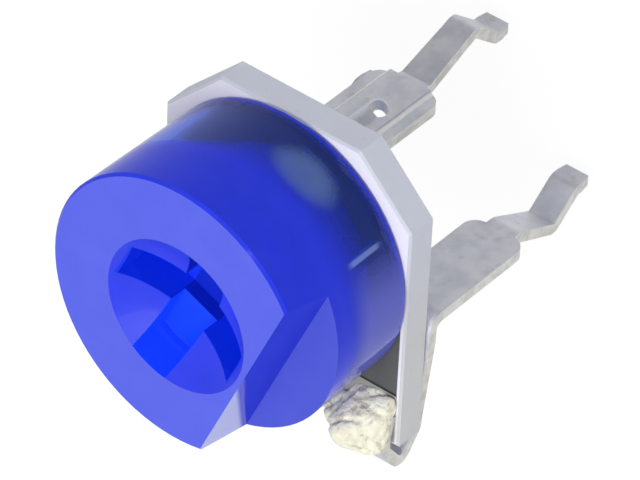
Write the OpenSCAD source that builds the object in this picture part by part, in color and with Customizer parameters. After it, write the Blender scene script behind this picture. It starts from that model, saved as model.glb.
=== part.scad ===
/* [Board and pins] */
// Height of the ceramic plate's back above the circuit board
stand_h = 6.4; // [4.5:0.1:12]
// Distance between the two end pins, centre to centre
pin_pitch = 10; // [8:0.1:12.5]
// Distance from the wiper pin's row to the end pins' row
row_gap = 5; // [4:0.1:6]
// Distance of the wiper pin's row above the rotor axis
wiper_row_y = 2.9; // [2.75:0.05:3.6]

/* [Ceramic plate] */
// Width of the plate outside the middle of each end pin
plate_side = 1.3; // [1.2:0.05:2]
// How far the plate's top edge stays inside the rotor's rim
top_in = 0.1; // [-1:0.05:0.3]
// How far the plate reaches below the rotor's rim
plate_tail = 1.4; // [1.2:0.05:3]
// Thickness of the plate
plate_t = 1.5; // [1:0.05:2.5]
// Length of the cut across each top corner, along either edge
corner_cut = 2.75; // [0.5:0.05:3.5]
// Bevel along the plate's edges
plate_bevel = 0.1; // [0.04:0.02:0.3]

/* [Printed layers] */
// Gap between the resistive track and the plate's side edges
track_margin = 0.22; // [0.1:0.02:0.5]
// Width of the resistive track
track_w = 1.95; // [1.2:0.05:2.2]
// Thickness of the printed layers
print_t = 0.05; // [0.03:0.01:0.1]
// Width of each end pad
pad_w = 2.6; // [2:0.1:3.2]
// Height of each end pad, from the plate's bottom edge to the track's end
pad_h = 2.45; // [2.2:0.05:3]

/* [Rotor body] */
// How much wider the rotor is at its front face than at its rim, on the radius
rotor_flare = 0.1; // [0.02:0.01:0.2]
// Height of the rotor's front face above the plate
rotor_h = 6.75; // [6.2:0.05:9]
// Gap between the rotor's rim and the plate
rim_gap = 0.15; // [0.1:0.01:0.3]
// Thickness of the rotor's skirt
skirt_wall = 0.55; // [0.35:0.05:0.65]
// Thickness of the rotor's front block, from its face to the cavity
deck_t = 2.8; // [2.4:0.05:3.2]
// Gap between the rotor's thick middle and the inside of the track
boss_in = 0.33; // [0.2:0.01:0.6]
// Gap between the thick middle and the plate
boss_lift = 1.3; // [1.15:0.05:1.6]
// Bevel round the rotor's front edge
front_bevel = 0.12; // [0.05:0.01:0.3]

/* [Index flat] */
// Direction of the index flat at rest, from the X axis
index_a = -23; // [-90:1:130]
// Distance from the axis to the flat, at the front face
flat_dist = 3.74; // [3.65:0.05:5]
// Slope of the flat's wall
flat_draft = 10; // [2:1:16]
// Depth of the ledge below the front face
ledge_depth = 2.34; // [1.2:0.05:2.6]
// Thickness of the ledge
ledge_t = 0.8; // [0.5:0.05:1.2]

/* [Screwdriver recess] */
// Diameter of the dished recess
dish_d = 7; // [5:0.1:7.2]
// Depth of the dish, which is part of a sphere
dish_h = 1.37; // [0.6:0.01:1.5]
// Width of the cross slot's arms
slot_w = 1.85; // [1.2:0.05:2.2]
// Length of the main slot, which points to the index flat
main_slot_l = 6.2; // [4.5:0.1:6.6]
// Depth of the main slot below the front face
main_slot_depth = 2.7; // [1.8:0.05:3]
// Depth of the cross arms below the front face
cross_slot_depth = 2.05; // [1.6:0.05:2.7]

/* [Bearing] */
// Diameter of the rotor's spindle
spindle_d = 2.4; // [2:0.05:2.7]
// Radial clearance of the spindle in the eyelet
run_clear = 0.05; // [0.02:0.01:0.08]
// Wall of the eyelet
eyelet_wall = 0.3; // [0.2:0.05:0.4]
// Diameter of the eyelet's front flange
flange_d = 4.6; // [4.2:0.1:4.8]
// Thickness of the eyelet's front flange
flange_t = 0.25; // [0.15:0.05:0.35]
// Diameter of the eyelet's rolled back end
roll_d = 4.2; // [3.8:0.1:4.8]
// Thickness of the eyelet's rolled back end
roll_t = 0.4; // [0.3:0.05:0.5]
// Diameter of the retaining washer
washer_d = 4.8; // [4:0.1:5]
// Thickness of the retaining washer
washer_t = 0.3; // [0.2:0.05:0.5]
// End float of the rotor
end_float = 0.08; // [0.03:0.01:0.15]
// Number of teeth on the retaining washer
washer_teeth = 6; // [4:1:8]

/* [End stops] */
// Angle between the two end stops
travel = 240; // [200:1:242]
// Width of the stop tab
tab_w = 1.4; // [1:0.05:1.6]
// Height of the stop tab above the plate
tab_h = 0.9; // [0.6:0.05:1]

/* [Wiper spring] */
// Thickness of the spring
spring_t = 0.15; // [0.1:0.01:0.2]
// Width of the spring's strip
strip_w = 2; // [1.6:0.05:2.1]
// Depth of the pocket that holds the strip
pocket_h = 1; // [0.7:0.05:1.2]
// Number of contact fingers
fingers = 3; // [2:1:4]
// Slit between two fingers
finger_slit = 0.2; // [0.1:0.02:0.3]
// Running gap under the contacts
contact_gap = 0.04; // [0.02:0.01:0.08]
// Diameter of the peg that holds the strip
peg_d = 0.8; // [0.6:0.05:0.9]

/* [Terminals] */
// Thickness of the terminals' sheet
sheet = 0.5; // [0.4:0.05:0.6]
// Width of the wiper terminal's blade
wiper_blade_w = 3.4; // [2.8:0.05:4]
// Width of the end terminals' blades
end_blade_w = 2.8; // [2.2:0.05:3.4]
// Width of the pins
pin_w = 1.3; // [0.8:0.05:1.35]
// Width of the pins where they leave the shoulders
pin_root_w = 1.5; // [1.4:0.05:1.8]
// Length of the wiper pin below its shoulders
pin_len = 5.8; // [5.4:0.1:8]
// How much shorter the two end pins are than the wiper pin
end_pin_cut = 0.6; // [0:0.05:0.6]
// How much shorter the left end pin is than the right one
left_pin_cut = 0.5; // [0:0.05:0.5]
// How far the pins are kinked outwards
kink_out = 1.15; // [0.3:0.05:1.3]
// Distance of the kink from the pin's tip
kink_up = 2.3; // [2:0.05:2.8]
// Distance of the return bend from the pin's tip
return_up = 0.85; // [0.7:0.05:1]
// How far the return bend passes the blade
return_in = 0; // [0:0.02:0.3]
// Inner radius of the sheet's bends
bend_r = 0.35; // [0.2:0.05:0.6]
// Radius of the blades' shoulders
shoulder_r = 0.7; // [0.2:0.05:0.9]
// Width of the flat bands along the wiper blade's edges
band_w = 0.5; // [0.3:0.05:0.8]
// Rise of the wiper blade's pressed middle over the bands
panel_rise = 0.18; // [0.1:0.02:0.3]
// Diameter of the pressed bead down the wiper blade
bead_d = 1; // [0.6:0.05:1.1]
// Height of the bead's round end above the board
bead_z = 2.2; // [1:0.1:2.4]
// Diameter of the hole in the bead's flank
bead_hole_d = 0.8; // [0.4:0.05:0.9]
// Width of the clips round the plate's bottom edge
clip_w = 1.7; // [1.2:0.05:2.2]
// How far the clips' outer edges stay inside the blades' outer edges
clip_inset = 0.45; // [0.1:0.05:0.45]
// How far the clips reach past the plate's bottom edge
clip_out = 1.6; // [1.3:0.05:1.8]
// Length of the clips' front fingers
clip_finger = 1.6; // [1:0.05:2]

/* [Solder] */
// Width of each solder lump
solder_w = 3.7; // [3.2:0.1:3.8]
// Height of each solder lump above the plate
solder_h = 2.1; // [1.6:0.05:2.4]

/* [Hidden] */
$fn = 96;
eps = 0.01;

// Levels along the rotor axis, counted from the circuit board
plate_front = stand_h + plate_t;
print_top = plate_front + print_t;
rotor_front = plate_front + rotor_h;
rim_z = plate_front + rim_gap;
roof_z = rotor_front - deck_t;
boss_z = plate_front + boss_lift;
ledge_z = rotor_front - ledge_depth;
flange_top = plate_front + flange_t;
collar_z = flange_top + end_float / 2;
foot_z = stand_h - sheet;
roll_z = foot_z - roll_t;
washer_z = roll_z - end_float / 2 - washer_t;
spindle_tail = 0.5;
spindle_bevel = 0.25;
spindle_end = washer_z - spindle_tail;
pocket_z = boss_z + pocket_h;

// The plate, the rotor and the track take their widths from the end pins
plate_w = pin_pitch + 2 * plate_side;
rim_r = plate_w / 2;
front_r = rim_r + rotor_flare;
plate_top = rim_r - top_in;
plate_bottom = rim_r + plate_tail;
track_r = plate_w / 2 - track_margin - track_w / 2;

// Radii about the rotor axis
cavity_r = rim_r - skirt_wall;
boss_r = track_r - track_w / 2 - boss_in;
spindle_r = spindle_d / 2;
eyelet_in = spindle_r + run_clear;
eyelet_out = eyelet_in + eyelet_wall;
hole_clear = 0.05;
collar_r = eyelet_out;
peg_x = (collar_r + boss_r) / 2 + 0.2;
tab_gap = 0.15;
tab_in = flange_d / 2 + tab_gap;
tab_out = tab_in + sheet;
rotor_clear = 0.25;
edge_round = 0.08;

// Stops: the ribs beside the wiper meet the tab at both ends of the travel
stop_slack = 0.5;
tab_half_a = atan(tab_w / 2 / tab_in);
rib_face_a = 180 - travel / 2 - tab_half_a - stop_slack;
stop_rib_w = 0.6;
stop_z = plate_front + 0.45;
wiper_a = index_a + 90;

// Ledge: the angle of its corners from the index direction
ledge_dist = flat_dist + ledge_depth * tan(flat_draft);
ledge_half_a = acos(ledge_dist / front_r);
web_t = 0.5;
web_sink = 0.2;

// Terminals
wiper_y = wiper_row_y;
end_y = wiper_row_y - row_gap;
end_x = pin_pitch / 2;
blade_in = end_x - end_blade_w / 2;
blade_out = end_x + end_blade_w / 2;
pad_edge = 0.2;
track_leg = plate_bottom - pad_edge - pad_h;
pad_x = plate_w / 2 - pad_edge - pad_w / 2;
pin_taper = 0.25;
pin_straight = 0.4;
foot_margin = 0.45;
foot_top = end_y - sheet / 2 - bend_r;
clip_bend_r = 0.45;
clip_lead = 0.28;
solder_hang = 0.7;
bead_x = 0.1;
bead_hole_shift = [0.23, 0.28];

// Unit vector and its left-hand normal
function unit(v) = v / norm(v);
function left_of(v) = [-v[1], v[0]];

// Offset of point i of an open path by h to its left, mitred at the bends
function side_point(p, i, h) =
    let (
        before = i > 0 ? unit(p[i] - p[i - 1]) : unit(p[1] - p[0]),
        after = i < len(p) - 1 ? unit(p[i + 1] - p[i]) : before,
        m = unit(left_of(before) + left_of(after))
    )
    p[i] + m * h / (m * left_of(before));

// Outline of a strip of thickness t along a path
function strip_outline(p, t) = concat(
    [for (i = [0:len(p) - 1]) side_point(p, i, t / 2)],
    [for (i = [len(p) - 1:-1:0]) side_point(p, i, -t / 2)]
);

// Path with each inner corner rounded to radius r, in steps along an arc
function round_path(p, r, steps = 5) = concat(
    [p[0]],
    [for (i = [1:len(p) - 2])
        let (
            u = unit(p[i - 1] - p[i]),
            v = unit(p[i + 1] - p[i]),
            half = acos(u * v) / 2,
            centre = p[i] + unit(u + v) * r / sin(half),
            from = p[i] + u * r / tan(half) - centre,
            to = p[i] + v * r / tan(half) - centre,
            turn = 180 - 2 * half
        )
        for (k = [0:steps])
            centre + (from * sin(turn * (1 - k / steps)) + to * sin(turn * k / steps)) / sin(turn)
    ],
    [p[len(p) - 1]]
);

// A strip bent along a path in the Y-Z plane, centred on x with width w
module bent_strip(path, t, w, x = 0) {
    translate([x - w / 2, 0, 0])
        rotate([90, 0, 90])
            linear_extrude(w)
                polygon(strip_outline(path, t));
}

// A sector of a ring between two radii and two angles
module ring_sector(r1, r2, a1, a2, h) {
    rotate([0, 0, a1])
        rotate_extrude(angle = a2 - a1)
            translate([r1, 0])
                square([r2 - r1, h]);
}

module plate_outline(inset) {
    w = plate_w / 2 - inset;
    top = plate_top - inset;
    bottom = plate_bottom - inset;
    cut = corner_cut - inset * (2 - sqrt(2));
    polygon([
        [-w, -bottom], [w, -bottom], [w, top - cut],
        [w - cut, top], [cut - w, top], [-w, top - cut]
    ]);
}

// Alumina plate with bevelled edges, the eyelet's hole and the slot for the stop tab
module ceramic_plate() {
    color("whitesmoke")
        difference() {
            hull() {
                translate([0, 0, stand_h])
                    linear_extrude(plate_t)
                        plate_outline(plate_bevel);
                translate([0, 0, stand_h + plate_bevel])
                    linear_extrude(plate_t - 2 * plate_bevel)
                        plate_outline(0);
            }
            translate([0, 0, stand_h - eps])
                cylinder(r = eyelet_out + hole_clear, h = plate_t + 2 * eps);
            translate([-tab_w / 2 - hole_clear, -tab_out - hole_clear, stand_h - eps])
                cube([tab_w + 2 * hole_clear, sheet + 2 * hole_clear, plate_t + 2 * eps]);
        }
}

// Horseshoe of resistive ink: half a ring and two straight legs
module resistive_track() {
    color("darkslategray")
        translate([0, 0, plate_front]) {
            ring_sector(track_r - track_w / 2, track_r + track_w / 2, 0, 180, print_t);
            for (side = [-1, 1])
                translate([side * track_r - track_w / 2, -track_leg, 0])
                    cube([track_w, track_leg, print_t]);
        }
}

// Silver pad under a solder lump, from the track's end to the plate's bottom edge
module end_pad(side) {
    color("silver")
        translate([side * pad_x - pad_w / 2, -plate_bottom + pad_edge, plate_front])
            cube([pad_w, pad_h, print_t]);
}

module left_pad() end_pad(-1);
module right_pad() end_pad(1);

// Outer form of the rotor, slightly wider at its front
module rotor_blank() {
    rotate_extrude()
        polygon([
            [0, rim_z], [rim_r, rim_z],
            [front_r, rotor_front - front_bevel],
            [front_r - front_bevel, rotor_front], [0, rotor_front]
        ]);
}

// Space above the ledge, bounded by the sloping flat
module index_cut() {
    above = 1;
    back = above * tan(flat_draft);
    translate([0, front_r + 1, 0])
        rotate([90, 0, 0])
            linear_extrude(2 * front_r + 2)
                polygon([
                    [ledge_dist, ledge_z], [front_r + 1, ledge_z],
                    [front_r + 1, rotor_front + above],
                    [flat_dist - back, rotor_front + above]
                ]);
}

// Dish and cross slot for a flat or cross screwdriver
module driver_recess() {
    sphere_r = (dish_d * dish_d / 4 + dish_h * dish_h) / (2 * dish_h);
    translate([0, 0, rotor_front - dish_h + sphere_r])
        sphere(sphere_r);
    translate([-main_slot_l / 2, -slot_w / 2, rotor_front - main_slot_depth])
        cube([main_slot_l, slot_w, main_slot_depth + eps]);
    intersection() {
        translate([-slot_w / 2, -dish_d / 2, rotor_front - cross_slot_depth])
            cube([slot_w, dish_d, cross_slot_depth + eps]);
        translate([0, 0, rotor_front - cross_slot_depth])
            cylinder(r = dish_d / 2, h = cross_slot_depth + eps);
    }
}

// Ring-shaped cavity above the track, left open towards the plate
module track_cavity() {
    difference() {
        translate([0, 0, rim_z - eps])
            cylinder(r = cavity_r, h = roof_z - rim_z + eps);
        translate([0, 0, boss_z])
            cylinder(r = boss_r, h = roof_z - boss_z + eps);
        // thicker roof under the ledge
        translate([0, 0, ledge_z - ledge_t])
            ring_sector(boss_r - eps, cavity_r + eps, -ledge_half_a, ledge_half_a, deck_t);
        // two webs under the ledge's corners
        for (side = [-1, 1])
            rotate([0, 0, side * ledge_half_a])
                translate([boss_r - web_sink, -web_t / 2, stop_z])
                    cube([cavity_r - boss_r + 2 * web_sink, web_t, rotor_h]);
    }
}

// Pocket for the spring's strip, open towards the plate and the cavity
module spring_pocket() {
    gap = 0.05;
    translate([collar_r + gap, -strip_w / 2 - gap, boss_z - eps])
        cube([boss_r - collar_r, strip_w + 2 * gap, pocket_h + eps]);
}

// Peg whose formed head holds the spring's strip in the pocket
module spring_peg() {
    head_d = peg_d + 0.6;
    head_h = 0.25;
    head_slope = 0.15;
    head_gap = 0.03;
    head_top = pocket_z - spring_t - head_gap;
    translate([peg_x, 0, head_top - eps])
        cylinder(d = peg_d, h = pocket_z - head_top + 2 * eps, $fn = 32);
    translate([peg_x, 0, head_top - head_h])
        cylinder(d1 = head_d - 2 * head_slope, d2 = head_d, h = head_h, $fn = 32);
}

// Rib beside the wiper whose outer face meets the stop tab
module stop_rib() {
    rib_in = tab_in - 0.15;
    rib_out = tab_out + 0.2;
    rib_w_a = stop_rib_w / rib_in * 180 / PI;
    translate([0, 0, stop_z])
        ring_sector(rib_in, rib_out, rib_face_a - rib_w_a, rib_face_a, boss_z - stop_z + eps);
}

// Moulded rotor: recess, index flat and ledge in front, spindle, stop ribs and skirt behind
module rotor() {
    color("royalblue")
        rotate([0, 0, index_a]) {
            difference() {
                rotor_blank();
                track_cavity();
                index_cut();
                driver_recess();
                rotate([0, 0, 90])
                    spring_pocket();
            }
            translate([0, 0, collar_z])
                cylinder(r = collar_r, h = boss_z - collar_z + eps);
            translate([0, 0, spindle_end])
                rotate_extrude()
                    polygon([
                        [0, 0], [spindle_r - spindle_bevel, 0], [spindle_r, spindle_bevel],
                        [spindle_r, collar_z - spindle_end + eps],
                        [0, collar_z - spindle_end + eps]
                    ]);
            rotate([0, 0, 90]) {
                spring_peg();
                stop_rib();
                mirror([0, 1, 0])
                    stop_rib();
            }
        }
}

// Contact spring: strip on the peg, split fingers to the track, short leg to the eyelet
module wiper_spring() {
    tip_r = 0.3;
    bend = 0.12;
    hole_gap = 0.03;
    contact_z = print_top + contact_gap;
    leg_z = flange_top + contact_gap;
    leg_x = (collar_r + flange_d / 2) / 2;
    leg_lean = 0.25;
    strip_z = pocket_z - spring_t / 2;
    strip_out = boss_r + 0.1;
    slit_x = strip_out + 0.15;
    finger_w = (strip_w - (fingers - 1) * finger_slit) / fingers;
    color("lightsteelblue")
        rotate([0, 0, wiper_a])
            difference() {
                // strip, leg and sloping fingers, in the radial plane
                rotate([0, 0, -90])
                    bent_strip(round_path([
                        [leg_x, leg_z + spring_t / 6],
                        [leg_x + leg_lean, strip_z],
                        [strip_out, strip_z],
                        [track_r - tip_r * 0.6, contact_z + spring_t],
                        [track_r + tip_r, contact_z + 3.2 * spring_t]
                    ], bend), spring_t, strip_w);
                translate([peg_x, 0, strip_z - spring_t])
                    cylinder(d = peg_d + 2 * hole_gap, h = 2 * spring_t, $fn = 32);
                // slits that part the fingers
                for (k = [1:fingers - 1])
                    translate([slit_x, -strip_w / 2 + k * (finger_w + finger_slit) - finger_slit, print_top])
                        cube([cavity_r - slit_x, finger_slit, pocket_z - print_top + 1]);
                // the leg is half as wide as the strip
                for (side = [-1, 1])
                    translate([leg_x - 2 * leg_lean, side > 0 ? strip_w / 4 : -strip_w, leg_z - 1])
                        cube([3 * leg_lean, strip_w * 3 / 4, strip_z - leg_z + 1 - 2 * bend]);
            }
}

// Push-on washer with teeth that grip the spindle's end
module retaining_washer() {
    tooth_l = 0.5;
    slot = 0.4;
    color("gray")
        rotate([0, 0, index_a])
            difference() {
                translate([0, 0, washer_z])
                    cylinder(r = washer_d / 2, h = washer_t);
                translate([0, 0, washer_z - eps])
                    cylinder(r = spindle_r, h = washer_t + 2 * eps);
                for (k = [0:washer_teeth - 1])
                    rotate([0, 0, k * 360 / washer_teeth])
                        translate([0, -slot / 2, washer_z - eps])
                            cube([spindle_r + tooth_l, slot, washer_t + 2 * eps]);
            }
}

// Tubular eyelet that clamps the wiper terminal to the plate and is the wiper's inner contact
module centre_eyelet() {
    lip = roll_t / 2;
    color("goldenrod")
        rotate_extrude()
            polygon([
                [eyelet_in, roll_z], [roll_d / 2 - lip, roll_z], [roll_d / 2, roll_z + lip],
                [roll_d / 2, foot_z], [eyelet_out, foot_z],
                [eyelet_out, plate_front], [flange_d / 2, plate_front],
                [flange_d / 2, flange_top - edge_round], [flange_d / 2 - edge_round, flange_top],
                [eyelet_in, flange_top]
            ]);
}

// Pin below a blade whose middle rises by root: kinked out, back, and out again to its tip
module kinked_pin(x, y, out, length, root = 0) {
    path = [
        [y + root, sheet], [y, -pin_straight], [y + out * kink_out, kink_up - length],
        [y - out * return_in, return_up - length], [y, -length]
    ];
    tip_w = pin_w - 2 * pin_taper;
    taper_end = -length / 2;
    intersection() {
        bent_strip(round_path(path, bend_r), sheet, pin_root_w, x);
        // narrows from the shoulders, and again at the tip
        translate([x, y + 2 * kink_out, 0])
            rotate([90, 0, 0])
                linear_extrude(4 * kink_out)
                    polygon([
                        [-pin_root_w / 2, sheet], [pin_root_w / 2, sheet],
                        [pin_w / 2, taper_end], [pin_w / 2, 2 * pin_taper - length],
                        [tip_w / 2, -length - 1], [-tip_w / 2, -length - 1],
                        [-pin_w / 2, 2 * pin_taper - length], [-pin_w / 2, taper_end]
                    ]);
    }
}

// Flat outline of a blade in the X-Z plane, with rounded shoulders
module blade_outline(w, h) {
    difference() {
        translate([-w / 2, 0])
            square([w, h]);
        for (side = [-1, 1])
            translate([side * (w / 2 - shoulder_r), shoulder_r])
                difference() {
                    translate([side > 0 ? 0 : -shoulder_r - eps, -shoulder_r - eps])
                        square(shoulder_r + eps);
                    circle(shoulder_r);
                }
    }
}

// Quarter bend between a blade below and a foot above; the foot leaves towards side * Y
module quarter_bend(y, side, w, x) {
    r = bend_r;
    translate([x - w / 2, y + side * (sheet / 2 + r), stand_h - sheet - r])
        rotate([0, 90, 0])
            intersection() {
                difference() {
                    cylinder(r = r + sheet, h = w);
                    translate([0, 0, -eps])
                        cylinder(r = r, h = w + 2 * eps);
                }
                translate([-r - sheet, side > 0 ? -r - sheet : 0, 0])
                    cube([r + sheet, r + sheet, w]);
            }
}

// Cross-section of the wiper blade: flat bands along both edges of a raised middle
module banded_section() {
    half = sheet / 2;
    edge = wiper_blade_w / 2;
    step_out = edge - band_w;
    step_in = step_out - panel_rise;
    polygon([
        [-edge, half], [-step_out, half], [-step_in, half + panel_rise],
        [step_in, half + panel_rise], [step_out, half], [edge, half],
        [edge, -half], [step_out, -half], [step_in, panel_rise - half],
        [-step_in, panel_rise - half], [-step_out, -half], [-edge, -half]
    ]);
}

// Foot of the wiper terminal, seen along the rotor axis, with the root of the stop tab
module wiper_foot_outline() {
    foot_r = roll_d / 2 + foot_margin;
    difference() {
        union() {
            circle(foot_r);
            translate([-wiper_blade_w / 2, 0])
                square([wiper_blade_w, wiper_y - sheet / 2 - bend_r + eps]);
            translate([-tab_w / 2, -tab_out])
                square([tab_w, tab_out]);
        }
        circle(eyelet_out);
        // the round end is cut off where the tab is folded
        for (side = [-1, 1])
            translate([side * (tab_w / 2 + foot_r / 2) - foot_r / 2, -foot_r - tab_in])
                square([foot_r, foot_r]);
    }
}

// Round-ended bead down the wiper blade, with its axis at y
module bead(y) {
    bead_l = foot_z - bend_r - bead_z - bead_d / 2;
    translate([bead_x, y, bead_z]) {
        cylinder(d = bead_d, h = bead_l, $fn = 48);
        for (z = [0, bead_l])
            translate([0, 0, z])
                sphere(d = bead_d, $fn = 48);
    }
}

// Wiper terminal: round foot with stop tab, bend, banded blade with bead and hole, pin
module wiper_terminal() {
    blade_h = foot_z - bend_r;
    bead_y = wiper_y + sheet / 2 + panel_rise - bead_d / 4;
    hole_x = bead_x + bead_hole_shift[0];
    hole_z = bead_z + bead_hole_shift[1];
    reach = 2;
    color("darkgray") {
        translate([0, 0, foot_z])
            linear_extrude(sheet)
                wiper_foot_outline();
        translate([-tab_w / 2, -tab_out, foot_z])
            cube([tab_w, sheet, plate_front + tab_h - foot_z]);
        quarter_bend(wiper_y, -1, wiper_blade_w, 0);
        difference() {
            union() {
                intersection() {
                    translate([0, wiper_y + reach, 0])
                        rotate([90, 0, 0])
                            linear_extrude(2 * reach)
                                blade_outline(wiper_blade_w, blade_h);
                    translate([0, wiper_y, 0])
                        linear_extrude(blade_h)
                            banded_section();
                }
                bead(bead_y);
            }
            // the pressed bead is hollow behind
            bead(bead_y - sheet);
            translate([hole_x, wiper_y + reach, hole_z])
                rotate([90, 0, 0])
                    cylinder(d = bead_hole_d, h = 2 * reach, $fn = 48);
        }
        kinked_pin(0, wiper_y, 1, pin_len, panel_rise);
    }
}

// Foot and clip seen along the rotor axis: they narrow from the blade to the plate's edge
module foot_outline() {
    clip_edge = blade_out - clip_inset;
    beyond = plate_bottom + clip_out + 1;
    polygon([
        [blade_in, foot_top - sheet], [blade_in, foot_top],
        [blade_out, foot_top], [blade_out, foot_top - sheet],
        [clip_edge, -plate_bottom], [clip_edge, -beyond],
        [clip_edge - clip_w, -beyond], [clip_edge - clip_w, -plate_bottom]
    ]);
}

// Foot down the plate's back and clip that goes round its bottom edge in a vee
module foot_and_clip() {
    mid = sheet / 2;
    leave_y = -plate_bottom - clip_lead;
    intersection() {
        bent_strip(round_path([
            [foot_top - mid, foot_z + mid],
            [leave_y, foot_z + mid],
            [-plate_bottom - clip_out, (foot_z + print_top + sheet) / 2],
            [leave_y, print_top + mid],
            [-plate_bottom + clip_finger, print_top + mid]
        ], clip_bend_r), sheet, end_blade_w, end_x);
        translate([0, 0, foot_z - 1])
            linear_extrude(plate_t + 2 * sheet + 2)
                foot_outline();
    }
}

// End terminal: pin and blade, foot down the plate's back, clip round its bottom edge
module end_terminal(length) {
    blade_h = foot_z - bend_r;
    color("darkgray") {
        translate([end_x, end_y + sheet / 2, 0])
            rotate([90, 0, 0])
                linear_extrude(sheet)
                    blade_outline(end_blade_w, blade_h);
        quarter_bend(end_y, -1, end_blade_w, end_x);
        translate([end_x - end_blade_w / 2, foot_top - sheet, foot_z])
            cube([end_blade_w, sheet + eps, sheet]);
        foot_and_clip();
        kinked_pin(end_x, end_y, -1, length);
    }
}

module right_terminal() end_terminal(pin_len - end_pin_cut);
module left_terminal() mirror([1, 0, 0]) end_terminal(pin_len - end_pin_cut - left_pin_cut);

// Solder lump over the pad and the clip's finger, hanging over the plate's bottom edge
module solder_lump() {
    low = [blade_out - solder_w, -plate_bottom, plate_front];
    span = [solder_w, plate_bottom - track_leg, solder_h];
    // each ball: its place as shares of the lump's span, and its radius as a share of the height
    balls = [
        [0.06, 0.21, 0.12, 0.14], [0.49, 0.76, 0.07, 0.21], [0.53, 0.36, 0.69, 0.30],
        [0.83, 0.60, 0.33, 0.24], [0.84, 0.19, 0.38, 0.24], [0.53, 0.02, 0.45, 0.22],
        [0.84, 0.83, 0.07, 0.19]
    ];
    color("beige")
        difference() {
            intersection() {
                hull()
                    for (b = balls)
                        translate(low + [b[0] * span[0], b[1] * span[1], b[2] * span[2]])
                            sphere(b[3] * solder_h, $fn = 24);
                translate([0, -plate_bottom - solder_hang, print_top])
                    cube([blade_out, plate_bottom + solder_hang - track_leg, 2 * solder_h]);
            }
            translate([0, 0, plate_front - 1])
                cylinder(r = front_r + rotor_clear, h = 2 * solder_h + 2);
            // room for the clip's front finger
            translate([0, 0, plate_front])
                linear_extrude(print_t + sheet)
                    intersection() {
                        foot_outline();
                        translate([0, -plate_bottom - clip_out])
                            square([blade_out, clip_out + clip_finger]);
                    }
        }
}

module right_solder() solder_lump();
module left_solder() mirror([1, 0, 0]) solder_lump();

ceramic_plate();
resistive_track();
left_pad();
right_pad();
rotor();
wiper_spring();
retaining_washer();
centre_eyelet();
wiper_terminal();
left_terminal();
right_terminal();
left_solder();
right_solder();
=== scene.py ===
import math

import bpy
import numpy as np
from mathutils import Matrix, Vector


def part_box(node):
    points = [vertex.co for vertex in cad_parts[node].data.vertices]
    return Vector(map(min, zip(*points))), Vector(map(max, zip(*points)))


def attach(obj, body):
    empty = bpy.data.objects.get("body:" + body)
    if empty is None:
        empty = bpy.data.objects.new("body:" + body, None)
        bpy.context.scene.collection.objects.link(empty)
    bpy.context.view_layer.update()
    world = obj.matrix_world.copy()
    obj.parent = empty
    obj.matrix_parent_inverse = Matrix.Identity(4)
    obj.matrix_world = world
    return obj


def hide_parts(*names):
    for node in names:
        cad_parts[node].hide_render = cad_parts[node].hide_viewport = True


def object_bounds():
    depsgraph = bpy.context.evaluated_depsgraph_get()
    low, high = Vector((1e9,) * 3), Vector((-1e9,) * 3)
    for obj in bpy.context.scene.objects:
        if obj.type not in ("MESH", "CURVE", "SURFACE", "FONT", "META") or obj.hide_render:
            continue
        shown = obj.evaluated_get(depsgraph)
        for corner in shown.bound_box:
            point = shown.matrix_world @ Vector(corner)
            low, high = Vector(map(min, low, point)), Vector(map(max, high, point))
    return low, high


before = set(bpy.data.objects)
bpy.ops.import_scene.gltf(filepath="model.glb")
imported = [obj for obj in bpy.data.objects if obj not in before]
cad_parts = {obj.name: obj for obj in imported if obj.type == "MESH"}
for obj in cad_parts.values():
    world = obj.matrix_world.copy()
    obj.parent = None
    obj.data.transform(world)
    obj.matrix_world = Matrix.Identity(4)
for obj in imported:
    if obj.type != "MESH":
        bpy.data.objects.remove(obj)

cad_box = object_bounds()

MM = 0.001

# Camera of the photograph, in the part's frame
CAMERA_AT = Vector((113.47, 153.74, 154.30)) * MM
CAMERA_AIM = Vector((1.901, 0.868, 8.0)) * MM
CAMERA_ROLL = math.radians(127.13)
FOCAL_PX = 6000
IMAGE_W = 640
SENSOR_W = 36.0
LAMP_AIM = (0, 0, 7)

# Levels and radii read from the frame
PRINT_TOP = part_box("resistive_track")[1][2]
TRACK_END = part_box("resistive_track")[0][1]
ROTOR_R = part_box("rotor")[1][0]
ROTOR_CLEAR = 0.27 * MM
DISH_R = 3.5 * MM
ROTOR_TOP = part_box("rotor")[1][2]
BLOCK_Z = ROTOR_TOP - 2.8 * MM
LEDGE_Z = ROTOR_TOP - 2.34 * MM
RIM_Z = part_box("ceramic_plate")[1][2] + 0.15 * MM
RIDGE_X = 1.15 * MM

# The rotor at rest: the index flat's direction, the wiper side's direction, the slots, and where the
# painted see-through light of the spring behind the skirt and of the web that is met edge on lies
INDEX_A = math.radians(-23)
WIPER_SIDE = (0.77, 0.64)
SLOT_HALF = 0.96 * MM
SLOT_END = 3.2 * MM
INDEX_WALL = 3.65 * MM
SPRING_PATCH = Vector((2.55, 5.82, 9.95)) * MM
WEB_A = math.radians(30)
WEB_LOW = 8.6 * MM
WEB_HIGH = 10.9 * MM


# Shader wiring

class Wire:
    """A shader socket. Arithmetic on it adds Math nodes to its tree."""

    def __init__(self, nodes, socket):
        self.nodes = nodes
        self.socket = socket

    def maths(self, operation, first, second):
        return self.nodes.node("ShaderNodeMath", {"operation": operation}, {0: first, 1: second})

    def __add__(self, other):
        return self.maths("ADD", self, other)

    def __sub__(self, other):
        return self.maths("SUBTRACT", self, other)

    def __rsub__(self, other):
        return self.maths("SUBTRACT", other, self)

    def __mul__(self, other):
        return self.maths("MULTIPLY", self, other)

    def __gt__(self, other):
        return self.maths("GREATER_THAN", self, other)

    def __lt__(self, other):
        return self.maths("LESS_THAN", self, other)

    def __abs__(self):
        return self.maths("ABSOLUTE", self, 0.0)

    def at_least(self, other):
        return self.maths("MAXIMUM", self, other)

    __radd__ = __add__
    __rmul__ = __mul__


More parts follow.
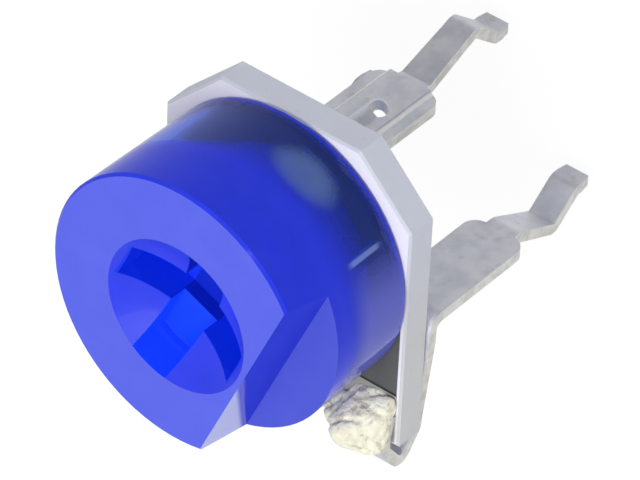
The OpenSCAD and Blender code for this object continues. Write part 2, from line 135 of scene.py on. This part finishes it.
class Nodes:
    """A node tree that is filled by short calls."""

    def __init__(self, tree):
        self.tree = tree

    def node(self, kind, settings=None, values=None, output=0):
        """Adds a node: its settings first, then the values or links of its sockets."""
        node = self.tree.nodes.new(kind)
        for name, setting in (settings or {}).items():
            setattr(node, name, setting)
        for socket, value in (values or {}).items():
            self.feed(node.inputs[socket], value)
        return Wire(self, node.outputs[output])

    def vector(self, operation, first, second, output="Value"):
        """Vector maths on two vectors."""
        return self.node("ShaderNodeVectorMath", {"operation": operation}, {0: first, 1: second}, output)

    def feed(self, socket, value):
        if isinstance(value, Wire):
            self.tree.links.new(value.socket, socket)
        else:
            socket.default_value = value

    def ramp(self, value, low, high, start=0.0, end=1.0):
        """Smooth step of a value: start below low, end above high."""
        sockets = {0: value, 1: low, 2: high, 3: start, 4: end}
        return self.node("ShaderNodeMapRange", {"interpolation_type": "SMOOTHSTEP"}, sockets)

    def ray(self, kind):
        """1 for rays of one kind."""
        return self.node("ShaderNodeLightPath", output="Is " + kind + " Ray")


class Finish(Nodes):
    """A material with one Principled surface and the nodes that feed it."""

    def __init__(self, name, constants):
        self.material = bpy.data.materials.new(name)
        self.material.use_nodes = True
        super().__init__(self.material.node_tree)
        self.surface = self.tree.nodes["Principled BSDF"]
        self.surface_wire = Wire(self, self.surface.outputs[0])
        self.set_constants(self.surface, constants)
        self.place = self.node("ShaderNodeTexCoord", output="Object")

    def set_constants(self, shader, constants):
        for name, value in constants.items():
            shader.inputs[name].default_value = value

    def noise(self, size, detail=3.0, stretch=(1.0, 1.0, 1.0), rough=0.55):
        """Soft noise from 0 to 1 whose blotches are about size metres across."""
        scale = self.node("ShaderNodeMapping", None, {"Vector": self.place, "Scale": stretch})
        values = {"Vector": scale, "Scale": 1.0 / size, "Detail": detail, "Roughness": rough}
        return self.node("ShaderNodeTexNoise", None, values)

    def cells(self, size):
        """Distance to the nearest of many scattered points, about size metres apart."""
        return self.node("ShaderNodeTexVoronoi", None, {"Vector": self.place, "Scale": 1.0 / size})

    def blend(self, share, first, second):
        """Colour between first and second."""
        settings = {"data_type": "RGBA"}
        return self.node("ShaderNodeMix", settings, {0: share, 6: first, 7: second}, 2)

    def axes(self, vector):
        """The three parts of a vector."""
        split = self.node("ShaderNodeSeparateXYZ", None, {0: vector}).socket.node
        return [Wire(self, out) for out in split.outputs]

    def bump(self, height, depth, strength=1.0):
        values = {"Height": height, "Distance": depth, "Strength": strength}
        return self.node("ShaderNodeBump", None, values)

    def finish(self, **inputs):
        """Feeds the surface's sockets and returns the material."""
        for name, value in inputs.items():
            self.feed(self.surface.inputs[name.replace("_", " ")], value)
        return self.material

    def shader(self, constants, **inputs):
        """One more Principled shader."""
        wire = self.node("ShaderNodeBsdfPrincipled")
        self.set_constants(wire.socket.node, constants)
        for name, value in inputs.items():
            self.feed(wire.socket.node.inputs[name.replace("_", " ")], value)
        return wire

    def mix(self, share, first, second):
        """Mix of two shaders, the second by its share."""
        return self.node("ShaderNodeMixShader", None, {0: share, 1: first, 2: second})

    def show(self, shader):
        """Makes a shader the one that is seen."""
        self.feed(self.tree.nodes["Material Output"].inputs["Surface"], shader)


def rgb(red, green, blue):
    return (red, green, blue, 1.0)


# Materials

def blue_plastic():
    """See-through blue moulding: clear where its wall is thin, dense in the front block, and
    matt on the faces where the mould was frosted. The block and its recess carry a faint painted
    glow, with painted light and shade in the slots and pale see-through marks painted on the walls."""
    level = {"IOR": 1.36, "Specular IOR Level": 0.22}
    f = Finish("blue_moulding", {**level, "Transmission Weight": 0.92})
    facing = f.axes(f.node("ShaderNodeTexCoord", output="Normal"))[2]
    x, y, z = f.axes(f.place)
    from_axis = x * x + y * y
    toward_flat = x * math.cos(INDEX_A) + y * math.sin(INDEX_A)
    toward_tip = x * math.sin(INDEX_A) - y * math.cos(INDEX_A)
    toward_wiper = x * WIPER_SIDE[0] + y * WIPER_SIDE[1]
    cloud = f.noise(1.6 * MM, 2.0)
    soft = f.noise(2.6 * MM, 1.0)
    grain = f.noise(0.09 * MM, 2.0)
    waves = f.bump(f.noise(0.9 * MM, 1.0), 0.006 * MM)
    gloss = f.ramp(cloud, 0.3, 0.7, 0.05, 0.09)

    # the thin wall
    clear = f.blend(soft, rgb(0.08, 0.20, 0.80), rgb(0.14, 0.34, 0.92))
    f.finish(Base_Color=clear, Roughness=gloss, Normal=waves)
    dye = {"Color": rgb(0.0, 0.12, 0.95), "Density": 420.0}
    absorption = f.node("ShaderNodeVolumeAbsorption", None, dye)
    f.feed(f.tree.nodes["Material Output"].inputs["Volume"], absorption)

    # the block, with painted light: brightest in the slots, painted shade in one arm of the cross and a
    # painted beam of light in the other
    within = f.ramp(from_axis, (DISH_R + 0.05 * MM) ** 2, (DISH_R + 0.15 * MM) ** 2, 1.0, 0.0)
    main_slot = (abs(toward_tip) < SLOT_HALF) * (abs(toward_flat) < SLOT_END)
    arms = abs(toward_flat) < SLOT_HALF
    slots = within * main_slot.at_least(arms)
    painted_shade = within * arms * (toward_tip < SLOT_HALF)
    painted_light_beam = within * arms * (toward_tip > SLOT_HALF)
    deep = f.blend(cloud, rgb(0.026, 0.046, 0.80), rgb(0.034, 0.060, 0.90))
    dished = f.blend(within, deep, f.blend(cloud, rgb(0.038, 0.060, 0.88), rgb(0.048, 0.076, 0.96)))
    lit = f.blend(slots, dished, rgb(0.008, 0.040, 0.86))
    lit = f.blend(painted_shade, lit, rgb(0.005, 0.024, 0.58))
    lit = f.blend(painted_light_beam, lit, rgb(0.008, 0.050, 1.0))
    # painted glow: a faint emission over the block, stronger in the slots and strongest in the painted beam
    glow = f.blend(slots, rgb(0.0, 0.001, 0.03), rgb(0.0, 0.007, 0.13))
    glow = f.blend(painted_shade, glow, rgb(0.0, 0.003, 0.07))
    glow = f.blend(painted_light_beam, glow, rgb(0.003, 0.028, 0.42))
    thick = f.shader({**level, "Transmission Weight": 0.12, "Emission Strength": 1.0},
                     Base_Color=lit, Emission_Color=glow, Roughness=gloss + within * 0.3, Normal=waves)

    # hazy wall: round the wiper's side of the block, below the ledge, and a bright line at the rim
    haze = f.ramp(toward_wiper, 1.5 * MM, 5.5 * MM)
    dense = f.ramp(z, BLOCK_Z - 0.25 * MM - haze * 2.2 * MM, BLOCK_Z + 0.05 * MM, 0.06, 0.88)
    rim = f.ramp(z, RIM_Z + 0.10 * MM, RIM_Z + 0.22 * MM, 0.7, 0.0)
    body = f.mix(dense.at_least(rim), f.surface_wire, thick)
    violet = f.shader({**level, "Transmission Weight": 0.3},
                      Base_Color=rgb(0.20, 0.22, 0.90), Roughness=gloss, Normal=waves)
    below_ledge = f.ramp(toward_flat, 3.6 * MM, 5.6 * MM) * f.ramp(z, LEDGE_Z - 0.9 * MM, LEDGE_Z - 2.2 * MM)
    body = f.mix(below_ledge * 0.75, body, violet)
    # painted light: a pale, faintly glowing shader for the index wall's corner
    painted_pale_light = f.shader({**level, "Transmission Weight": 0.15, "Emission Strength": 1.0},
                      Base_Color=rgb(0.70, 0.74, 1.0), Emission_Color=rgb(0.04, 0.05, 0.12),
                      Roughness=gloss, Normal=waves)
    # painted see-through light with a painted glow: the index wall's pale corner lies over a line that falls
    # from the front face's edge
    corner = toward_tip * 0.478 + z - (ROTOR_TOP + 0.1 * MM)
    pale_corner_light = f.ramp(corner, 0.0, 0.3 * MM) * f.ramp(toward_flat, INDEX_WALL - 0.15 * MM, INDEX_WALL)
    pale_corner_light = pale_corner_light * (z > LEDGE_Z)
    body = f.mix(pale_corner_light * 0.75, body, painted_pale_light)

    # painted see-through light: a lighter patch where the contact spring lies behind the wall
    beside = f.vector("SUBTRACT", f.place, tuple(SPRING_PATCH), "Vector")
    tangent = SPRING_PATCH.cross(Vector((0, 0, 1))).normalized()
    round_rotor = f.vector("DOT_PRODUCT", beside, tuple(tangent))
    away = f.vector("DOT_PRODUCT", beside, beside) - round_rotor * round_rotor * 0.65
    teal = f.shader({**level, "Transmission Weight": 0.3},
                    Base_Color=rgb(0.17, 0.27, 0.62), Roughness=gloss, Normal=waves)
    patch = f.ramp(away, (1.2 * MM) ** 2, (0.2 * MM) ** 2) * (0.35 + 0.6 * soft)
    body = f.mix(patch, body, teal)

    # painted see-through light: a pale line where a web is met edge on
    across = x * math.sin(WEB_A) - y * math.cos(WEB_A)
    line = f.ramp(across * across, (0.05 * MM) ** 2, (0.16 * MM) ** 2, 1.0, 0.0) * (x > 0.0)
    line = line * f.ramp(z, WEB_LOW, WEB_LOW + 0.6 * MM)
    line = line * f.ramp(z, WEB_HIGH - 0.5 * MM, WEB_HIGH, 1.0, 0.0)
    edge = f.shader({**level, "Transmission Weight": 0.2},
                    Base_Color=rgb(0.30, 0.42, 0.95), Roughness=gloss, Normal=waves)
    body = f.mix(line * 0.6, body, edge)

    # the frosted faces
    pale = f.blend(cloud, rgb(0.092, 0.122, 0.74), rgb(0.110, 0.140, 0.80))
    lower = f.blend(cloud, rgb(0.070, 0.092, 0.58), rgb(0.084, 0.108, 0.64))
    pale = f.blend(z > LEDGE_Z + 0.1 * MM, lower, pale)
    frosted = f.shader(level, Base_Color=pale, Roughness=0.5 + 0.1 * grain, Normal=f.bump(grain, 0.004 * MM))
    f.show(f.mix(f.ramp(facing, 0.85, 0.97) * (from_axis > (DISH_R - 0.02 * MM) ** 2), body, frosted))
    return f.material


def alumina():
    """Fired alumina: off-white, finely grained, with a few grey specks."""
    f = Finish("alumina", {"IOR": 1.6, "Specular IOR Level": 0.35})
    cloud = f.noise(2.2 * MM, 3.0)
    grain = f.noise(0.07 * MM, 3.0)
    specks = f.ramp(f.cells(0.55 * MM), 0.05, 0.10, 1.0, 0.0)
    up = f.axes(f.node("ShaderNodeTexCoord", output="Normal"))[2]
    # painted light: the front face is painted paler and lavender than the greyer sides, as lit through the
    # blue rotor, and the sides take a painted blue bounce towards the top edge near the rotor
    front = f.blend(cloud, rgb(0.90, 0.89, 0.98), rgb(0.94, 0.93, 1.0))
    painted_bounce = f.ramp(f.axes(f.place)[1], -5.0 * MM, 5.0 * MM)
    side = f.blend(painted_bounce, rgb(0.66, 0.67, 0.68), rgb(0.64, 0.67, 0.79))
    side = f.blend(cloud * 0.3, side, rgb(0.56, 0.57, 0.60))
    body = f.blend(f.ramp(up, 0.75, 0.95), side, front)
    colour = f.blend(specks * 0.35, body, rgb(0.42, 0.42, 0.43))
    relief = f.bump(grain + 0.5 * f.noise(0.3 * MM, 2.0), 0.006 * MM)
    return f.finish(Base_Color=colour, Roughness=0.5 + 0.2 * grain, Normal=relief)


def resistive_ink():
    """Baked carbon ink: dark grey with faint print streaks, and blacker in a narrow band at its end."""
    f = Finish("resistive_ink", {"IOR": 1.5, "Specular IOR Level": 0.5})
    streak = f.noise(0.12 * MM, 3.0, (6.0, 0.7, 1.0))
    cloud = f.noise(0.8 * MM, 2.0)
    y = f.axes(f.place)[1]
    end_band = f.ramp(y, TRACK_END + 0.10 * MM, TRACK_END + 0.16 * MM, 1.0, 0.0)
    ink = f.blend(cloud, rgb(0.075, 0.080, 0.078), rgb(0.115, 0.120, 0.115))
    colour = f.blend(end_band, ink, rgb(0.02, 0.02, 0.022))
    relief = f.bump(streak, 0.003 * MM)
    return f.finish(Base_Color=colour, Roughness=0.38 + 0.15 * streak, Normal=relief)


def silver_ink():
    f = Finish("silver_ink", {"Metallic": 0.85})
    grain = f.noise(0.06 * MM, 3.0)
    colour = f.blend(f.noise(0.7 * MM), rgb(0.50, 0.49, 0.45), rgb(0.68, 0.67, 0.62))
    return f.finish(Base_Color=colour, Roughness=0.45 + 0.2 * grain, Normal=f.bump(grain, 0.004 * MM))


def tinned_sheet():
    """Tinned sheet: satin grey with soft clouds, drawn streaks, fine scratches and a few stains.
    Its cut edges are paler and rougher, and a painted highlight runs along the ridges of the banded blade."""
    f = Finish("tinned_sheet", {"IOR": 1.5})
    stain = f.noise(1.3 * MM, 4.0)
    dull = f.noise(0.5 * MM, 3.0)
    streak = f.noise(0.05 * MM, 2.0, (5.0, 5.0, 0.35))
    scratch = f.ramp(f.noise(0.09 * MM, 4.0, (6.0, 1.0, 0.5)), 0.64, 0.70)
    body = f.blend(f.ramp(stain, 0.35, 0.65), rgb(0.78, 0.80, 0.89), rgb(0.93, 0.94, 1.0))
    stained = f.blend(f.ramp(dull, 0.56, 0.80, 0.0, 0.45), body, rgb(0.56, 0.54, 0.49))
    colour = f.blend(scratch * 0.3, stained, rgb(0.88, 0.88, 0.90))

    cut = f.ramp(abs(f.axes(f.node("ShaderNodeTexCoord", output="Normal"))[0]), 0.85, 0.95)
    # painted highlight: white, less metallic lines along the banded blade's ridges
    ridge_highlight = f.ramp(abs(abs(f.axes(f.place)[0]) - RIDGE_X), 0.03 * MM, 0.10 * MM, 1.0, 0.0)
    sheared = f.blend(f.ramp(dull, 0.40, 0.60), rgb(0.74, 0.72, 0.63), rgb(0.94, 0.93, 0.86))
    colour = f.blend(cut * 0.7, colour, sheared)
    colour = f.blend(ridge_highlight * 0.8, colour, rgb(1.0, 1.0, 1.0))
    metal = 0.75 - 0.35 * cut - 0.55 * ridge_highlight
    rough = 0.30 + 0.22 * stain + 0.08 * streak + 0.10 * cut
    relief = f.bump(streak + 0.8 * dull, 0.004 * MM)
    return f.finish(Base_Color=colour, Metallic=metal, Roughness=rough, Normal=relief)


def solder_metal():
    """Dull solder under dried flux: a pale cream skin, crumbled, with greyer hollows."""
    f = Finish("solder", {"IOR": 1.5, "Specular IOR Level": 0.5})
    crumble = f.noise(0.40 * MM, 4.0, rough=0.6)
    fine = f.noise(0.07 * MM, 3.0)
    cloud = f.noise(1.3 * MM, 2.0)
    hollow = f.ramp(crumble, 0.47, 0.36)
    flux = f.ramp(f.noise(0.5 * MM, 3.0), 0.50, 0.64)
    skin = f.blend(f.ramp(cloud, 0.38, 0.62), rgb(0.93, 0.90, 0.71), rgb(0.98, 0.97, 0.79))
    skin = f.blend(flux * 0.5, skin, rgb(0.76, 0.70, 0.54))
    colour = f.blend(hollow * 0.6, skin, rgb(0.44, 0.40, 0.31))
    relief = f.bump(crumble + 0.10 * fine, 0.13 * MM)
    return f.finish(Base_Color=colour, Roughness=0.28 + 0.25 * fine, Normal=relief)


def eyelet_brass():
    f = Finish("eyelet_brass", {"Metallic": 1.0})
    tarnish = f.noise(0.8 * MM, 4.0)
    grain = f.noise(0.05 * MM, 2.0)
    colour = f.blend(f.ramp(tarnish, 0.45, 0.7), rgb(0.74, 0.58, 0.30), rgb(0.50, 0.37, 0.18))
    return f.finish(Base_Color=colour, Roughness=0.22 + 0.25 * tarnish, Normal=f.bump(grain, 0.002 * MM))


def spring_alloy():
    f = Finish("spring_alloy", {"Metallic": 1.0})
    rolled = f.noise(0.04 * MM, 2.0, (4.0, 0.6, 0.6))
    colour = f.blend(f.noise(0.6 * MM), rgb(0.62, 0.60, 0.55), rgb(0.74, 0.71, 0.64))
    return f.finish(Base_Color=colour, Roughness=0.24 + 0.12 * rolled, Normal=f.bump(rolled, 0.002 * MM))


def washer_steel():
    f = Finish("washer_steel", {"Metallic": 1.0})
    cloud = f.noise(0.7 * MM, 4.0)
    grain = f.noise(0.05 * MM, 3.0)
    colour = f.blend(cloud, rgb(0.42, 0.42, 0.43), rgb(0.56, 0.56, 0.57))
    return f.finish(Base_Color=colour, Roughness=0.30 + 0.25 * cloud, Normal=f.bump(grain, 0.003 * MM))


# Solder lumps

LUMP_RINGS = 110
LUMP_SPOKES = 220
# Balls that the lump is drawn round: place and radius in millimetres
LUMP_BALLS = np.array([
    (2.92, -7.14, 8.15, 0.29), (4.51, -5.69, 8.05, 0.44), (4.66, -6.75, 9.35, 0.63),
    (5.77, -6.11, 8.59, 0.50), (5.81, -7.20, 8.70, 0.50), (4.66, -7.65, 8.85, 0.46),
    (5.81, -5.50, 8.05, 0.40),
]) * MM


def globe(rings, spokes):
    """Directions over a sphere as rows between two poles, and the faces that join them."""
    down = np.linspace(0.0, math.pi, rings + 2)[1:-1, None]
    turn = np.linspace(0.0, 2.0 * math.pi, spokes, endpoint=False)[None, :]
    rows = np.stack([
        np.sin(down) * np.cos(turn), np.sin(down) * np.sin(turn), np.cos(down) + 0.0 * turn
    ], axis=-1).reshape(-1, 3)
    directions = np.concatenate([rows, [[0.0, 0.0, 1.0], [0.0, 0.0, -1.0]]])
    here = np.arange(rings * spokes).reshape(rings, spokes)
    after = np.roll(here, -1, axis=1)
    quads = np.stack([here[:-1], here[1:], after[1:], after[:-1]], axis=-1).reshape(-1, 4)
    north = np.full(spokes, rings * spokes)
    cap = np.stack([north, here[0], after[0]], axis=-1)
    base = np.stack([north + 1, after[-1], here[-1]], axis=-1)
    return directions, quads.tolist() + cap.tolist() + base.tolist()


def ripples(points, rng, count, size):
    """Sum of count waves in random directions, each about size long, scaled to stay near -1 to 1."""
    ways = rng.normal(size=(count, 3))
    ways /= np.linalg.norm(ways, axis=1, keepdims=True)
    length = size * rng.uniform(0.6, 1.6, count)
    phase = rng.uniform(0.0, 2.0 * math.pi, count)
    return np.sin(2.0 * math.pi * (points @ ways.T) / length + phase).sum(axis=1) / math.sqrt(count)


def solder_lump(side, seed):
    """A skin drawn round balls. For each direction the point is the mean of all balls' outermost
    points that way, weighted by the exponential of how far each ball reaches that way over a
    softness. The absolute value of long waves gives blobs with creases between them, short waves
    give grit, and both move the skin along the direction. The underside is level with the print."""
    directions, faces = globe(LUMP_RINGS, LUMP_SPOKES)
    softness = 0.16 * MM
    reach = directions @ LUMP_BALLS[:, :3].T + LUMP_BALLS[:, 3]
    weight = np.exp((reach - reach.max(axis=1, keepdims=True)) / softness)
    weight /= weight.sum(axis=1, keepdims=True)
    points = weight @ LUMP_BALLS[:, :3] + (weight @ LUMP_BALLS[:, 3:]) * directions
    rng = np.random.default_rng(seed)
    blobs = np.abs(ripples(points, rng, 12, 1.5 * MM))
    grit = ripples(points, rng, 16, 0.35 * MM)
    rise = np.minimum(0.16 * blobs + 0.026 * grit - 0.11, 0.03)
    points = points + directions * rise[:, None] * MM
    from_axis = np.hypot(points[:, 0], points[:, 1])
    push = np.maximum(from_axis, ROTOR_R + ROTOR_CLEAR) / from_axis
    points[:, :2] *= push[:, None]
    points[:, 2] = np.maximum(points[:, 2], PRINT_TOP)
    low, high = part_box("right_solder")
    points = np.clip(points, low, high)
    points[:, 0] *= side
    return points, faces if side > 0 else [face[::-1] for face in faces]


def add_piece(name, points, faces, material):
    """A smooth-shaded object at the origin, with its place in its mesh."""
    mesh = bpy.data.meshes.new(name)
    mesh.from_pydata(points, [], faces)
    mesh.polygons.foreach_set("use_smooth", np.ones(len(mesh.polygons), dtype=bool))
    mesh.materials.append(material)
    piece = bpy.data.objects.new(name, mesh)
    bpy.context.scene.collection.objects.link(piece)
    return piece


def dress(node, material):
    """Gives a CAD node its material."""
    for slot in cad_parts[node].material_slots:
        slot.material = material


# Studio

def make_camera():
    """The photograph's camera, rolled about its line of sight."""
    forward = (CAMERA_AIM - CAMERA_AT).normalized()
    level_right = forward.cross(Vector((0, 0, 1))).normalized()
    level_up = level_right.cross(forward)
    up = level_up * math.cos(CAMERA_ROLL) + level_right * math.sin(CAMERA_ROLL)
    right = forward.cross(up)
    camera = bpy.data.objects.new("camera", bpy.data.cameras.new("camera"))
    camera.matrix_world = Matrix.Translation(CAMERA_AT) @ Matrix((right, up, -forward)).transposed().to_4x4()
    camera.data.sensor_width = SENSOR_W
    camera.data.lens = SENSOR_W * FOCAL_PX / IMAGE_W
    camera.data.clip_start = 0.01
    bpy.context.scene.collection.objects.link(camera)
    bpy.context.scene.camera = camera


def make_lamp(name, place, size, power):
    """A square soft lamp, placed in millimetres, that points at the part."""
    lamp = bpy.data.lights.new(name, "AREA")
    lamp.size = size
    lamp.energy = power
    holder = bpy.data.objects.new(name, lamp)
    holder.location = Vector(place) * MM
    aim = Vector(LAMP_AIM) * MM - holder.location
    holder.rotation_euler = aim.to_track_quat("-Z", "Y").to_euler()
    bpy.context.scene.collection.objects.link(holder)


def make_world(level, dark, pale, forward):
    """Even light of one level on matt surfaces. Mirror and see-through rays meet a studio that is
    dark on the camera's side and pale or white behind the part. The camera sees plain white."""
    world = bpy.data.worlds.new("studio")
    world.use_nodes = True
    bpy.context.scene.world = world
    n = Nodes(world.node_tree)
    way = n.node("ShaderNodeTexCoord", output="Generated")
    along = n.vector("DOT_PRODUCT", way, forward)
    mirrored = n.ramp(along, -0.3, 0.6, dark, pale)
    through = n.ramp(along, -0.3, 0.6, dark, 1.0)
    strength = level + n.ray("Glossy") * (mirrored - level) + n.ray("Transmission") * (through - level)
    background = n.tree.nodes["Background"]
    background.inputs["Color"].default_value = rgb(1, 1, 1)
    n.feed(background.inputs["Strength"], strength.at_least(n.ray("Camera")))


def make_floor(level, half_width):
    """A pale floor under the pins, lifted to white where it is seen, with its shadow kept."""
    corners = [(-1, -1), (1, -1), (1, 1), (-1, 1)]
    points = [(half_width * x, half_width * y, level) for x, y in corners]
    f = Finish("floor", {"Base Color": rgb(0.85, 0.85, 0.85), "Roughness": 0.9, "Specular IOR Level": 0.1})
    glow = f.node("ShaderNodeEmission", None, {"Color": rgb(1, 1, 1), "Strength": 1.05})
    f.show(f.mix(f.ray("Camera").at_least(f.ray("Transmission")) * 0.88, f.surface_wire, glow))
    floor = add_piece("floor", points, [(0, 1, 2, 3)], f.material)
    floor.visible_glossy = False


bpy.context.scene.view_settings.view_transform = "Standard"
make_camera()
make_world(level=0.46, dark=0.22, pale=0.66, forward=(CAMERA_AIM - CAMERA_AT).normalized())
make_floor(level=cad_box[0][2] - 0.02 * MM, half_width=3.0)
make_lamp("key", place=(70, 40, 300), size=0.20, power=0.68)
make_lamp("top", place=(-60, 260, 120), size=0.22, power=0.02)

tin = tinned_sheet()
silver = silver_ink()
solder = solder_metal()
dress("rotor", blue_plastic())
dress("ceramic_plate", alumina())
dress("resistive_track", resistive_ink())
dress("left_pad", silver)
dress("right_pad", silver)
dress("wiper_spring", spring_alloy())
dress("retaining_washer", washer_steel())
dress("centre_eyelet", eyelet_brass())
for terminal in ("wiper_terminal", "left_terminal", "right_terminal"):
    dress(terminal, tin)

for side, node, seed in ((1, "right_solder", 4), (-1, "left_solder", 9)):
    lump = add_piece(node + "_lump", *solder_lump(side, seed), solder)
    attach(lump, "base")
    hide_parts(node)
